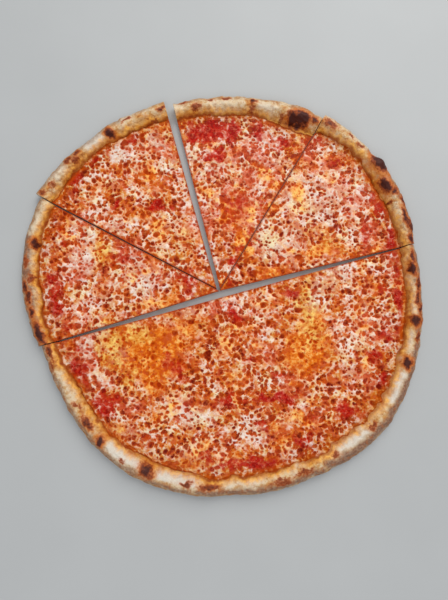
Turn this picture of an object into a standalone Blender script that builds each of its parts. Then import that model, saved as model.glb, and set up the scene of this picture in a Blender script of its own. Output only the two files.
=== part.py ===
"""A New York-style cheese pizza, 18 inches across, cut with a wheel into one uncut half and four slices.

Each piece of the pizza is a wedge of three layers: the crust with its raised rim, the sauce and the melted
cheese. A layer is a turned wedge, whose profile sweeps through the piece's own angle, and its points are then
moved along their rays and up or down, so that the faces of the cuts stay flat. The pieces lie where they came
to rest after cutting, flat on their undersides.

Lengths are in metres and directions in degrees, anticlockwise from +X, seen from above. The origin is under
the middle of the whole pizza, on the surface it rests on.
"""

import math

import bmesh
import bpy
from mathutils import Vector, noise

# Driving dimensions of the layers.
BASE_THICKNESS = 0.0032
RIM_HEIGHT = 0.0155
RIM_WIDTH = 0.0215
SAUCE_THICKNESS = 0.0008
CHEESE_THICKNESS = 0.0018
LAYER_GAP = 0.0003
SAUCE_MARGIN = 0.0006
CHEESE_MARGIN = 0.0040

# The rim's cross-section, as fractions of its width and height.
CROWN_PLACE = 0.50
BULGE_HEIGHT = 0.36
TUCK_PLACE = 0.74
TUCK_SLOPE = 0.62

# How uneven the hand-stretched dough and the melted cheese are.
RIM_WAVE = 0.0009
RIM_WAVE_LENGTH = 0.030
EDGE_WAVE = 0.0016
EDGE_WAVE_LENGTH = 0.022
CHEESE_WAVE = 0.0006
CHEESE_WAVE_LENGTH = 0.030
CHEESE_EDGE_WAVE = 0.0032
CHEESE_EDGE_WAVE_LENGTH = 0.016

# The pieces: the place of the tip, the directions of the two cuts, and the outer radius, read from the tip at
# equal angles from the first cut to the second.
PIECES = {
    "half": {
        "tip": (0.0028, -0.0085),
        "cuts": (195.4, 375.4),
        "radii": (
            0.2146, 0.2146, 0.2196, 0.2240, 0.2241, 0.2212, 0.2227,
            0.2252, 0.2318, 0.2320, 0.2283, 0.2260, 0.2269,
        ),
        "steps": 64,
    },
    "slice_right": {
        "tip": (-0.0026, -0.0015),
        "cuts": (13.6, 59.0),
        "radii": (0.2319, 0.2399, 0.2415, 0.2437),
        "steps": 18,
    },
    "slice_upper_middle": {
        "tip": (-0.0021, 0.0008),
        "cuts": (59.0, 104.3),
        "radii": (0.2363, 0.2325, 0.2286, 0.2267),
        "steps": 18,
    },
    "slice_upper_left": {
        "tip": (-0.0060, 0.0008),
        "cuts": (105.8, 152.3),
        "radii": (0.2309, 0.2315, 0.2327, 0.2376),
        "steps": 18,
    },
    "slice_left": {
        "tip": (-0.0031, -0.0018),
        "cuts": (152.5, 197.3),
        "radii": (0.2343, 0.2311, 0.2236, 0.2144),
        "steps": 18,
    },
}

# The rim's width and height round the pizza, as factors on the driving sizes, at even angles from +X on.
RIM_WIDTH_FACTORS = (
    0.84, 0.84, 1.00, 0.83, 1.00, 0.99, 0.97, 0.95, 0.93, 0.85, 0.88, 0.86,
    0.90, 0.88, 0.92, 1.03, 1.08, 1.09, 1.06, 1.17, 1.28, 1.22, 1.16, 0.99,
)
RIM_HEIGHT_FACTORS = (0.95, 1.00, 1.10, 0.98, 0.96, 0.92, 0.90, 0.94, 1.00, 1.00, 1.06, 1.04)

# Blisters that the oven raised on the rim: direction, place across the rim from 0 at its inner edge to 1 at
# its outer one, radius and height.
BLISTERS = (
    (67.5, 0.55, 0.011, 0.0030),
    (38.0, 0.60, 0.009, 0.0016),
    (20.0, 0.65, 0.010, 0.0018),
    (352.0, 0.60, 0.009, 0.0014),
    (341.0, 0.35, 0.008, 0.0016),
    (322.0, 0.50, 0.014, 0.0018),
    (300.0, 0.55, 0.012, 0.0014),
    (266.0, 0.55, 0.013, 0.0012),
    (248.0, 0.45, 0.009, 0.0016),
    (231.0, 0.60, 0.008, 0.0014),
    (194.0, 0.55, 0.008, 0.0012),
    (166.0, 0.55, 0.009, 0.0014),
    (141.0, 0.50, 0.010, 0.0012),
    (124.5, 0.50, 0.008, 0.0020),
    (97.0, 0.45, 0.012, 0.0012),
)

# Finishes: colour, roughness and metallic value.
CRUST_FINISH = ((0.69, 0.50, 0.32, 1.0), 0.75, 0.0)
SAUCE_FINISH = ((0.48, 0.05, 0.02, 1.0), 0.35, 0.0)
CHEESE_FINISH = ((0.86, 0.62, 0.38, 1.0), 0.40, 0.0)

BASE_RADIUS = 0.2286 - RIM_WIDTH
SAUCE_BOTTOM = BASE_THICKNESS + LAYER_GAP
SAUCE_TOP = SAUCE_BOTTOM + SAUCE_THICKNESS
CHEESE_BOTTOM = SAUCE_TOP + LAYER_GAP
CHEESE_TOP = CHEESE_BOTTOM + CHEESE_THICKNESS
MERGE_DISTANCE = 0.00001


def clear_scene():
    for obj in list(bpy.data.objects):
        bpy.data.objects.remove(obj, do_unlink=True)


def finish(name, values):
    """A plain material of one colour."""
    colour, roughness, metallic = values
    material = bpy.data.materials.new(name)
    material.use_nodes = True
    shader = material.node_tree.nodes["Principled BSDF"]
    shader.inputs["Base Color"].default_value = colour
    shader.inputs["Roughness"].default_value = roughness
    shader.inputs["Metallic"].default_value = metallic
    return material


def smooth_between(values, place):
    """The value at a place between 0 and 1 along a row of values, on a smooth curve through them."""
    scaled = min(max(place, 0.0), 1.0) * (len(values) - 1)
    index = min(int(scaled), len(values) - 2)
    before = values[max(index - 1, 0)]
    start = values[index]
    end = values[index + 1]
    after = values[min(index + 2, len(values) - 1)]
    t = scaled - index
    slope_in = (end - before) / 2
    slope_out = (after - start) / 2
    bend = 2 * (start - end) + slope_in + slope_out
    lean = 3 * (end - start) - 2 * slope_in - slope_out
    return start + t * (slope_in + t * (lean + t * bend))


def round_factor(factors, direction):
    """The factor in this direction, from a row that goes once round the pizza."""
    ring = factors[-1:] + factors + factors[:2]
    return smooth_between(ring, (1 + (direction % 360) / 360 * len(factors)) / (len(ring) - 1))


def wave(x, y, length, layer):
    """An even wave of this length between about -1 and 1. Each layer has a pattern of its own."""
    return noise.noise(Vector((x / length, y / length, layer)))


def crust_profile():
    """The crust's section from the tip out over the rim and back under it, at the driving sizes."""
    flat_top = [(BASE_RADIUS * part, BASE_THICKNESS) for part in (0.0, 0.3, 0.6, 0.85, 1.0)]
    inner_side = []
    for part in (0.10, 0.24, 0.40, 0.62, 0.82, 1.0):
        rise = math.sin(part * math.pi / 2) ** 0.9
        height = BASE_THICKNESS + (RIM_HEIGHT - BASE_THICKNESS) * rise
        inner_side.append((BASE_RADIUS + RIM_WIDTH * CROWN_PLACE * part, height))
    bulge = RIM_HEIGHT * BULGE_HEIGHT
    outer_side = []
    for turn in (66, 46, 28, 10):
        across = CROWN_PLACE + (1 - CROWN_PLACE) * math.cos(math.radians(turn))
        height = bulge + (RIM_HEIGHT - bulge) * math.sin(math.radians(turn))
        outer_side.append((BASE_RADIUS + RIM_WIDTH * across, height))
    under_side = []
    for part in (0.0, 0.35, 0.70, 1.0):
        across = 1 - (1 - TUCK_PLACE) * part ** (1 / TUCK_SLOPE)
        under_side.append((BASE_RADIUS + RIM_WIDTH * across, bulge * (1 - part)))
    flat_bottom = [(BASE_RADIUS * part, 0.0) for part in (0.95, 0.5, 0.0)]
    return flat_top + inner_side + outer_side + under_side + flat_bottom


def layer_profile(bottom, top, rings):
    """A flat layer's section with a rounded outer edge."""
    middle = (bottom + top) / 2
    inner_edge = BASE_RADIUS * (rings - 1) / rings
    upper = [(BASE_RADIUS * ring / rings, top) for ring in range(rings)]
    lip = [(BASE_RADIUS * 0.985, top - (top - middle) * 0.35), (BASE_RADIUS, middle)]
    lower = [(BASE_RADIUS * 0.99, bottom)] + [(inner_edge * part, bottom) for part in (0.75, 0.35, 0.0)]
    return upper + lip + lower


def turned_wedge(name, profile, steps, arc):
    """The profile turned through the piece's angle, with both faces of the cuts closed."""
    mesh = bpy.data.meshes.new(name + "_profile")
    points = [(radius, 0.0, height) for radius, height in profile]
    mesh.from_pydata(points, [(index, index + 1) for index in range(len(points) - 1)], [])
    outline = bpy.data.objects.new(name + "_profile", mesh)
    bpy.context.scene.collection.objects.link(outline)
    turn = outline.modifiers.new("Turn", "SCREW")
    turn.angle = arc
    turn.steps = steps
    turn.render_steps = steps
    turn.use_merge_vertices = True
    turn.merge_threshold = MERGE_DISTANCE
    graph = bpy.context.evaluated_depsgraph_get()
    wedge = bpy.data.meshes.new_from_object(outline.evaluated_get(graph))
    bpy.data.objects.remove(outline)
    return wedge


def close_cuts(mesh, arc):
    """Fills the two flat faces that the knife left, and the seam between them down the tip."""
    body = bmesh.new()
    body.from_mesh(mesh)
    bmesh.ops.remove_doubles(body, verts=body.verts, dist=MERGE_DISTANCE)
    tips = [vertex for vertex in body.verts if vertex.co.to_2d().length < MERGE_DISTANCE]
    seam = body.edges.new(tips)
    for direction in (0.0, arc):
        section = [edge for edge in body.edges if edge.is_boundary and on_cut(edge, direction)]
        bmesh.ops.contextual_create(body, geom=list({*section, seam}))
    bmesh.ops.recalc_face_normals(body, faces=body.faces)
    body.to_mesh(mesh)
    body.free()


def on_cut(edge, direction):
    """Whether the edge lies on the upright half-plane that leaves the tip in this direction."""
    along = Vector((math.cos(direction), math.sin(direction), 0.0))
    across = Vector((-along.y, along.x, 0.0))
    for vertex in edge.verts:
        if abs(vertex.co.dot(across)) > MERGE_DISTANCE or vertex.co.dot(along) < -MERGE_DISTANCE:
            return False
    return True


class Dough:
    """The uneven outline of one piece, in the piece's own frame: its tip at the origin, its first cut on +X."""

    def __init__(self, piece):
        self.tip = piece["tip"]
        self.first_cut = math.radians(piece["cuts"][0])
        self.arc = math.radians(piece["cuts"][1] - piece["cuts"][0])
        self.radii = piece["radii"]

    def place(self, radius, turn):
        """The point's place on the whole pizza."""
        direction = self.first_cut + turn
        return self.tip[0] + radius * math.cos(direction), self.tip[1] + radius * math.sin(direction)

    def outer_radius(self, turn):
        return smooth_between(self.radii, turn / self.arc)

    def rim_width(self, turn):
        x, y = self.place(self.outer_radius(turn), turn)
        factor = round_factor(RIM_WIDTH_FACTORS, math.degrees(math.atan2(y, x)))
        return RIM_WIDTH * factor + EDGE_WAVE * wave(x, y, EDGE_WAVE_LENGTH, 3)

    def rim_height(self, turn):
        x, y = self.place(self.outer_radius(turn), turn)
        factor = round_factor(RIM_HEIGHT_FACTORS, math.degrees(math.atan2(y, x)))
        return RIM_HEIGHT * factor + RIM_WAVE * wave(x, y, RIM_WAVE_LENGTH, 5)

    def foot_radius(self, turn):
        """Where the flat base ends and the rim begins to rise."""
        return self.outer_radius(turn) - self.rim_width(turn)


def polar(point):
    """Distance from the tip, and turn from the first cut. It is half a turn all along the half's other cut."""
    quarter = math.pi / 2
    turn = (math.atan2(point.y, point.x) + quarter) % (2 * math.pi) - quarter
    return math.hypot(point.x, point.y), turn


def blister_rise(x, y, across):
    """How far the blisters lift the rim at this place."""
    rise = 0.0
    for direction, middle, radius, height in BLISTERS:
        turn = math.radians(direction) - math.atan2(y, x)
        along = math.hypot(x, y) * math.atan2(math.sin(turn), math.cos(turn))
        over = (across - middle) * RIM_WIDTH
        rise += height * math.exp(-(along**2 + over**2) / radius**2)
    return rise


def shape_crust(point, dough):
    radius, turn = polar(point)
    if radius <= BASE_RADIUS:
        return radius / BASE_RADIUS * dough.foot_radius(turn), point.z
    across = (radius - BASE_RADIUS) / RIM_WIDTH
    moved = dough.foot_radius(turn) + across * dough.rim_width(turn)
    if point.z <= BASE_THICKNESS:
        return moved, point.z
    x, y = dough.place(moved, turn)
    part = (point.z - BASE_THICKNESS) / (RIM_HEIGHT - BASE_THICKNESS)
    height = BASE_THICKNESS + part * (dough.rim_height(turn) - BASE_THICKNESS)
    return moved, height + part * blister_rise(x, y, across)


def shape_sauce(point, dough):
    radius, turn = polar(point)
    reach = dough.foot_radius(turn) - SAUCE_MARGIN
    return radius / BASE_RADIUS * reach, point.z


def shape_cheese(point, dough):
    radius, turn = polar(point)
    foot = dough.foot_radius(turn)
    x, y = dough.place(foot, turn)
    margin = CHEESE_MARGIN + CHEESE_EDGE_WAVE * wave(x, y, CHEESE_EDGE_WAVE_LENGTH, 7)
    moved = radius / BASE_RADIUS * (foot - margin)
    x, y = dough.place(moved, turn)
    lift = (point.z - CHEESE_BOTTOM) / CHEESE_THICKNESS
    return moved, point.z + lift * CHEESE_WAVE * wave(x, y, CHEESE_WAVE_LENGTH, 9)


def make_layer(name, profile, shape, material, piece, holder, collection):
    """One layer of one piece of the pizza."""
    dough = Dough(piece)
    mesh = turned_wedge(name, profile, piece["steps"], dough.arc)
    for vertex in mesh.vertices:
        turn = polar(vertex.co)[1]
        radius, height = shape(vertex.co, dough)
        vertex.co = (radius * math.cos(turn), radius * math.sin(turn), height)
    close_cuts(mesh, dough.arc)
    mesh.name = name
    mesh.materials.clear()
    mesh.materials.append(material)
    mesh.shade_smooth()
    mesh.set_sharp_from_angle(angle=math.radians(50))
    layer = bpy.data.objects.new(name, mesh)
    layer.parent = holder
    collection.objects.link(layer)


def make_piece(name, piece, materials, collection):
    """A wedge of crust, sauce and cheese, held by an empty at its tip that is turned to its first cut."""
    holder = bpy.data.objects.new(name + "_place", None)
    holder.location = (*piece["tip"], 0.0)
    holder.rotation_euler.z = math.radians(piece["cuts"][0])
    collection.objects.link(holder)
    layers = (
        ("crust", crust_profile(), shape_crust),
        ("sauce", layer_profile(SAUCE_BOTTOM, SAUCE_TOP, 4), shape_sauce),
        ("cheese", layer_profile(CHEESE_BOTTOM, CHEESE_TOP, 14), shape_cheese),
    )
    for layer, profile, shape in layers:
        make_layer(f"{name}_{layer}", profile, shape, materials[layer], piece, holder, collection)


def main():
    clear_scene()
    collection = bpy.data.collections.new("New York-style pizza")
    bpy.context.scene.collection.children.link(collection)
    materials = {
        "crust": finish("Baked crust", CRUST_FINISH),
        "sauce": finish("Tomato sauce", SAUCE_FINISH),
        "cheese": finish("Melted cheese", CHEESE_FINISH),
    }
    for name, piece in PIECES.items():
        make_piece(name, piece, materials, collection)


main()
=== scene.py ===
"""Dresses a New York-style cheese pizza: its baked crust, its sauce and its net of melted cheese.

The pizza lies in five pieces, one half and four slices. Each piece has three layers, and every layer is one
mesh. Lengths are in metres and directions in degrees, anticlockwise from +X, seen from above.
"""

import math

import bmesh
import bpy
import numpy as np
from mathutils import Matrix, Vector, noise


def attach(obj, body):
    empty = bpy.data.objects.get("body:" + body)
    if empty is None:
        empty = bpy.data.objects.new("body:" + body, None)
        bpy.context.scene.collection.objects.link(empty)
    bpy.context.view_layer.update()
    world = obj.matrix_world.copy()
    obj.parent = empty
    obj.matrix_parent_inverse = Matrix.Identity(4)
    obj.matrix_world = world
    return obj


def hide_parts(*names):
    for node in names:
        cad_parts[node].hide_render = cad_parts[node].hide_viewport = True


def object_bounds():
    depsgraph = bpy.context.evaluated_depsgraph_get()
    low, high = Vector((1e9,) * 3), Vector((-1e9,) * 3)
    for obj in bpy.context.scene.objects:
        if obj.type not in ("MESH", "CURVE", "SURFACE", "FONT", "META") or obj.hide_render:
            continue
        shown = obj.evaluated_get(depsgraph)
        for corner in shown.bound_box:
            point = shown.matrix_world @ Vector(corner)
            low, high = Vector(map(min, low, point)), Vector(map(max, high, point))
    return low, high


bl_info = {
    "name": "New York-style Pizza",
    "version": (1, 0, 0),
    "blender": (4, 5, 0),
    "location": "View3D > Sidebar > Pizza",
    "description": "Builds a sliced New York-style cheese pizza over its solid frame",
    "category": "Add Mesh",
}

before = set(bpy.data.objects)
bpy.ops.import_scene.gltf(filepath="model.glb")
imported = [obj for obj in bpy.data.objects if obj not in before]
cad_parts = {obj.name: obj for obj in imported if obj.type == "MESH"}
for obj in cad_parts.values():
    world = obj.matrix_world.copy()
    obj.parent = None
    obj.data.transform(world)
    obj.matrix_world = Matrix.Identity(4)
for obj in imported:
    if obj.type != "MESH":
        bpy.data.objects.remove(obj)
frame_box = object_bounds()

# The pieces: the place of the tip, the directions of the two cuts, and the outer radius, read from the tip at
# equal angles from the first cut to the second.
PIECES = {
    "half": (
        (0.0028, -0.0085), (195.4, 375.4),
        (
            0.2146, 0.2146, 0.2196, 0.2240, 0.2241, 0.2212, 0.2227,
            0.2252, 0.2318, 0.2320, 0.2283, 0.2260, 0.2269,
        ),
    ),
    "slice_right": ((-0.0026, -0.0015), (13.6, 59.0), (0.2319, 0.2399, 0.2415, 0.2437)),
    "slice_upper_middle": ((-0.0021, 0.0008), (59.0, 104.3), (0.2363, 0.2325, 0.2286, 0.2267)),
    "slice_upper_left": ((-0.0060, 0.0008), (105.8, 152.3), (0.2309, 0.2315, 0.2327, 0.2376)),
    "slice_left": ((-0.0031, -0.0018), (152.5, 197.3), (0.2343, 0.2311, 0.2236, 0.2144)),
}

# The rim's width and height round the pizza, as factors on the driving sizes, at even angles from +X on.
RIM_WIDTH_FACTORS = (
    0.84, 0.84, 1.00, 0.83, 1.00, 0.99, 0.97, 0.95, 0.93, 0.85, 0.88, 0.86,
    0.90, 0.88, 0.92, 1.03, 1.08, 1.09, 1.06, 1.17, 1.28, 1.22, 1.16, 0.99,
)
RIM_HEIGHT_FACTORS = (0.95, 1.00, 1.10, 0.98, 0.96, 0.92, 0.90, 0.94, 1.00, 1.00, 1.06, 1.04)

# The rim's cross-section, as fractions of its width and height.
CROWN_PLACE = 0.50
BULGE_HEIGHT = 0.36
TUCK_PLACE = 0.74
TUCK_SLOPE = 0.62

# How uneven the hand-stretched dough is: height and length of the waves.
RIM_WAVE = (0.0009, 0.030)
EDGE_WAVE = (0.0016, 0.022)

# The lists that follow are written in whole steps. Each list's steps say how many of them make one degree, one
# metre, or the whole of the rim's width or of a strength.
BLISTER_STEPS = (1, 100, 10000, 10000)
CHAR_STEPS = (1, 100, 10000, 10000, 100)
STRETCH_STEPS = (1, 1, 100, 100, 100)
BORDER_STEPS = (1, 100)
PATCH_STEPS = (1000, 1000, 1000, 1000, 100)

# Blisters that the oven raised on the rim: direction, place across the rim from its inner edge to its outer
# one, radius and height.
BLISTERS = (
    (66.8, 42, 120, 26), (38.6, 84, 90, 34), (32, 45, 80, 14), (20, 65, 100, 18), (6, 50, 90, 14),
    (352, 60, 90, 14), (341, 35, 80, 16), (322, 50, 140, 18), (300, 55, 120, 14), (266, 55, 130, 12),
    (248, 45, 100, 20), (231, 60, 80, 14), (194, 55, 100, 14), (166, 40, 80, 14), (140, 55, 110, 18),
    (125, 45, 70, 20), (97, 45, 120, 12), (80.5, 60, 60, 14),
)

# Burnt marks on the rim: direction, place across it, half length along it, half width across it and darkness.
CHAR_MARKS = (
    (1.5, 74, 90, 38, 72), (6.3, 46, 80, 50, 92), (9.5, 66, 70, 30, 74), (14.8, 70, 62, 40, 88),
    (18.6, 84, 80, 30, 76), (21.8, 64, 120, 34, 82), (26.2, 82, 70, 30, 72), (27, 16, 32, 24, 60),
    (29.8, 60, 46, 46, 84), (32.3, 34, 88, 62, 102), (38.6, 74, 116, 76, 114), (46, 62, 62, 26, 62),
    (50, 66, 48, 24, 60), (56.8, 60, 94, 46, 66), (61.4, 50, 56, 50, 86), (65.2, 36, 90, 62, 108),
    (67.4, 20, 78, 64, 108), (64.8, 8, 70, 42, 84), (69, 40, 52, 40, 62), (70.8, 10, 30, 60, 46),
    (80.6, 62, 40, 38, 86), (80.4, 24, 50, 52, 48), (93.2, 68, 44, 22, 60), (88.6, 78, 60, 26, 56),
    (97.8, 40, 66, 50, 58), (101.6, 76, 70, 24, 54), (108.6, 50, 60, 30, 68), (112, 8, 50, 24, 50),
    (119.5, 62, 80, 18, 60), (125.6, 36, 50, 62, 100), (136.8, 64, 46, 32, 66), (140, 68, 60, 34, 64),
    (138.6, 34, 56, 56, 56), (148.6, 42, 56, 44, 50), (151.6, 58, 42, 50, 56), (166.4, 30, 52, 58, 84),
    (172, 66, 80, 32, 60), (176.8, 34, 52, 52, 58), (179.6, 72, 70, 36, 74), (182.5, 58, 76, 42, 78),
    (187.4, 60, 72, 44, 82), (194.2, 56, 136, 42, 100), (200.6, 54, 98, 36, 70), (205, 66, 60, 26, 50),
    (218.4, 52, 40, 22, 62), (220.2, 34, 34, 24, 58), (225.4, 48, 98, 42, 68), (231.5, 50, 52, 50, 102),
    (240, 60, 44, 26, 50), (247.6, 42, 92, 62, 82), (259.5, 46, 78, 26, 62), (266.5, 50, 128, 38, 64),
    (287, 62, 140, 30, 52), (294, 58, 120, 32, 54), (304.3, 54, 60, 34, 54), (317.5, 46, 70, 30, 56),
    (337.9, 45, 64, 52, 105), (346.2, 72, 70, 28, 62), (350.4, 50, 56, 70, 90), (354, 76, 80, 32, 74),
    (357.4, 62, 100, 38, 76),
)

# Stretches of the rim left pale, and stretches with a dusty, browned outer side: start, end, the lowest and
# highest place across the rim, and strength. The pale stretches are partly pale floury dough and partly a
# painted sheen; the dusty stretches are partly flour and browning and partly painted shade on the outer side.
PALE_AND_SHEEN_STRETCHES = (
    (16, 26, 12, 42, 20), (42, 60, 70, 100, 45), (72, 79.5, 22, 66, 62), (83, 92, 20, 80, 50),
    (92, 99, 26, 60, 34), (99, 106, 36, 90, 50), (112, 123, 62, 100, 55), (127.5, 134.5, 25, 95, 85),
    (142, 147, 25, 90, 60), (154, 164, 28, 80, 55), (168, 175, 20, 50, 50), (180, 190, 10, 32, 40),
    (207, 217, 20, 62, 55), (233.5, 245.5, 14, 62, 100), (250.5, 263, 6, 55, 100), (270, 283, 28, 56, 70),
    (284, 293, 28, 48, 60), (305.5, 316, 24, 58, 100), (325.5, 335.5, 20, 60, 100), (341, 348, 14, 46, 75),
    (352, 360, 16, 46, 60), (0, 4, 16, 42, 50), (0, 26, 0, 26, 55), (38, 57, 0, 26, 65),
    (73, 98, 0, 22, 45), (264, 290, 0, 22, 40), (290, 340, 0, 30, 75),
)
DUSTY_AND_SHADED_STRETCHES = (
    (0, 12, 50, 100, 95), (12, 44, 56, 100, 95), (44, 60, 80, 100, 45), (60, 70, 50, 100, 60),
    (72, 120, 68, 100, 50), (120, 164, 58, 100, 62), (164, 200, 30, 100, 95), (200, 262, 60, 100, 75),
    (262, 300, 60, 100, 90), (300, 346, 56, 100, 100), (346, 360, 52, 100, 100),
)

# Where the toppings end: directions, each with a place across the rim, below 0 on the flat base inside it.
TOPPING_BORDER = (
    (3, 4), (10, 6), (15, 10), (20, 7), (25, 0), (30, -10), (35, -4), (40, 8), (45, 13), (50, 14), (55, 3),
    (59, -8), (63, -24), (66, -32), (69, -24), (72, -12), (76, -2), (80, 6), (85, 2), (90, 2), (95, 5),
    (105, 4), (110, 1), (120, 0), (125, 6), (130, 12), (135, 12), (140, 8), (145, -5), (150, -18),
    (155, 15), (160, 8), (165, 0), (185, 0), (190, 10), (195, 13), (200, 16), (205, 14), (210, 4), (215, 0),
    (225, 0), (230, 7), (240, 7), (245, 0), (260, 1), (265, 16), (290, 15), (295, 22), (300, 27), (305, 20),
    (310, 12), (320, 15), (330, 12), (335, 10), (340, 8), (345, 12), (350, 12), (355, 8),
)

# Patches of the toppings on the whole pizza: X, Y, half width, half height and strength.
PATCHES = {
    # Places where the sauce lies bare.
    "bare": (
        (-12, 188, 34, 16, 80), (12, 190, 7, 20, 100), (42, 190, 7, 16, 60), (-36, 196, 10, 10, 60),
        (6, 14, 5, 10, 70), (14, 30, 6, 10, 80), (21, 44, 6, 10, 80), (29, 58, 6, 10, 75),
        (36, 70, 6, 10, 60), (10, 98, 18, 22, 56), (44, 100, 12, 14, 40), (105, 180, 16, 12, 55),
        (135, 150, 10, 10, 45), (183, 100, 9, 22, 70), (195, 62, 9, 20, 80), (162, 62, 13, 12, 55),
        (150, 108, 8, 6, 45), (-75, 96, 18, 8, 75), (-122, 100, 5, 5, 80), (-174, 130, 10, 16, 65),
        (-148, 160, 14, 12, 60), (-105, 180, 10, 8, 50), (-192, -8, 10, 26, 80), (-185, 60, 10, 14, 50),
        (-40, 12, 16, 13, 65), (-119, 30, 14, 12, 45), (-175, -45, 12, 8, 50), (-168, -88, 10, 15, 90),
        (-131, -129, 20, 17, 80), (16, -34, 11, 13, 70), (80, -2, 10, 8, 55), (-64, -80, 9, 11, 80),
        (-53, -91, 11, 9, 75), (-43, -101, 10, 7, 55), (60, -124, 28, 7, 80), (10, -126, 24, 9, 60),
        (138, -138, 18, 15, 70), (182, -102, 8, 8, 70), (188, -54, 8, 10, 60), (172, -78, 10, 8, 60),
        (205, 0, 7, 45, 75), (30, -196, 50, 8, 75), (90, -172, 13, 10, 65), (102, -150, 9, 7, 50),
        (30, -80, 9, 8, 50), (60, -98, 13, 10, 65), (183, 6, 9, 10, 45), (-15, -186, 12, 8, 50),
        (72, 174, 12, 10, 80), (-8, 161, 12, 10, 80), (-38, -4, 14, 10, 60), (-158, -97, 14, 12, 50),
        (-53, -132, 10, 10, 35), (163, -28, 10, 10, 35), (46, -154, 14, 10, 45), (29, -19, 12, 10, 40),
        (-77, -170, 12, 10, 35), (6, -55, 12, 10, 40), (89, 123, 10, 10, 40), (-148, 100, 10, 20, 35),
        (-7, -187, 14, 8, 50),
    ),
    # Pools of orange oil.
    "oil": (
        (-80, -72, 48, 36, 100), (-120, -58, 22, 18, 70), (-79, -102, 15, 23, 100), (96, -72, 30, 30, 95),
        (104, -38, 22, 20, 75), (88, -146, 26, 10, 70), (16, 90, 24, 30, 60), (26, 56, 13, 20, 90),
        (-82, 120, 18, 12, 45), (-108, 90, 12, 10, 50), (-42, 64, 14, 24, 45), (116, 44, 26, 10, 80),
        (95, 100, 12, 10, 50), (62, 18, 34, 8, 75), (-116, 32, 18, 14, 30), (-58, -18, 42, 12, 65),
        (-140, -34, 24, 10, 35), (0, -190, 60, 14, 40), (87, 118, 12, 14, 90), (34, 94, 14, 16, 70),
        (-44, -44, 16, 14, 70), (4, -64, 16, 14, 60), (46, -18, 14, 12, 50), (126, 8, 10, 10, 50),
        (96, -22, 12, 12, 60), (-143, 121, 12, 10, 50), (-29, -33, 12, 10, 50), (83, 90, 12, 10, 40),
        (-60, -98, 12, 10, 80),
    ),
    # Places where the cheese is thick and creamy.
    "creamy": (
        (66, 50, 22, 12, 100), (48, 68, 11, 12, 90), (108, 108, 48, 36, 52), (48, 172, 12, 14, 50),
        (0, 146, 32, 10, 50), (-122, 158, 14, 11, 70), (-86, 182, 14, 10, 60), (-70, 146, 14, 12, 50),
        (-140, 126, 14, 12, 30), (-152, 48, 10, 36, 75), (-168, 34, 16, 14, 45), (-94, 8, 20, 17, 80),
        (-150, -8, 12, 12, 25), (-30, -146, 19, 12, 90), (-62, -138, 10, 20, 25), (30, -158, 22, 12, 70),
        (-155, -64, 13, 12, 70), (110, -8, 15, 26, 50), (168, -30, 20, 18, 25), (92, -124, 9, 8, 50),
        (148, -62, 14, 12, 50), (-112, -158, 14, 10, 30), (78, 40, 16, 12, 80), (-40, 156, 14, 18, 70),
        (-94, 34, 12, 10, 60), (136, 20, 16, 12, 55), (-142, -46, 14, 10, 60), (58, 40, 12, 10, 60),
        (78, 68, 14, 10, 60), (-26, 92, 12, 22, 50), (-16, 46, 10, 16, 40), (-175, 67, 10, 14, 60),
        (-185, -27, 10, 12, 45), (-34, -184, 14, 10, 60), (-73, 78, 14, 10, 50), (46, 140, 12, 12, 40),
        (122, 4, 12, 12, 50), (-36, -26, 14, 10, 40), (-132, -12, 14, 12, 55), (124, 87, 14, 12, 80),
        (155, 88, 12, 12, 50), (-46, 170, 12, 12, 50), (-74, 173, 12, 10, 60), (34, 176, 12, 10, 50),
        (66, 155, 14, 10, 50), (-121, 74, 12, 12, 50), (-2, 30, 10, 12, 50), (149, -92, 12, 12, 50),
        (-114, -77, 12, 12, 50),
    ),
    # Places where a painted pinkish-white sheen, the sky's reflection, lies on the cheese.
    "rosy_sheen": (
        (45, 172, 22, 20, 100), (-105, 168, 20, 14, 60), (-78, 168, 20, 14, 60), (-15, 166, 18, 12, 60),
        (105, 165, 20, 16, 80), (137, 128, 18, 18, 60), (160, 105, 16, 22, 80), (172, 65, 12, 20, 80),
        (45, 135, 24, 20, 90), (16, 98, 34, 32, 110), (-4, 140, 20, 16, 60), (20, 158, 20, 12, 70),
        (75, 45, 18, 14, 60), (-165, 80, 14, 20, 60), (-138, 78, 18, 12, 60), (-165, 30, 16, 30, 90),
        (-105, 45, 20, 14, 70), (-105, 12, 20, 12, 70), (-75, 12, 14, 12, 60), (195, 30, 10, 30, 80),
        (-195, 0, 12, 30, 60), (0, -18, 26, 12, 90), (-165, -30, 16, 20, 70), (-155, -72, 16, 18, 100),
        (165, -45, 20, 20, 70), (190, -45, 10, 20, 50), (135, -45, 14, 14, 50), (45, -75, 20, 14, 60),
        (75, -110, 20, 14, 60), (-105, -135, 18, 14, 60), (-45, -135, 16, 14, 60), (165, -100, 14, 14, 50),
        (-140, -100, 16, 14, 50), (-94, 34, 14, 12, 70), (-74, 173, 14, 10, 60), (-182, -27, 12, 14, 70),
        (-175, 67, 12, 14, 70), (-23, 80, 13, 30, 90), (156, 90, 14, 12, 60), (118, 147, 14, 12, 60),
    ),
    # Places where oil turns the cheese yellow.
    "yellow": (
        (-126, -66, 18, 32, 100), (-96, -50, 22, 14, 70), (-112, -100, 16, 12, 85), (97, -16, 14, 32, 85),
        (106, -50, 16, 20, 70), (128, -78, 12, 12, 50), (-138, 40, 17, 22, 65), (-112, 12, 18, 12, 50),
        (-74, 102, 22, 16, 40), (-46, 52, 14, 20, 50), (56, 56, 24, 16, 60), (124, 58, 24, 12, 60),
        (90, 98, 16, 16, 45), (-62, -132, 14, 22, 25), (10, 126, 24, 10, 35), (66, -146, 20, 12, 40),
    ),
}

BODY = "root"
CRUST_SPACING = 0.0011  # of the crusts' mesh
SHEET_RAYS = 361  # along the outline of a sheet of toppings
FIELD_RADIUS = 0.22  # where patterns that go round the pizza are read
PATCH_SEED = 51
DIP = 0.0004  # of a layer into the one below
SHARP_ANGLE = math.radians(48)  # from which an edge stays sharp
LOOK_AT = (0.00244, -0.01191, 0)  # the point that the camera looks at

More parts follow.
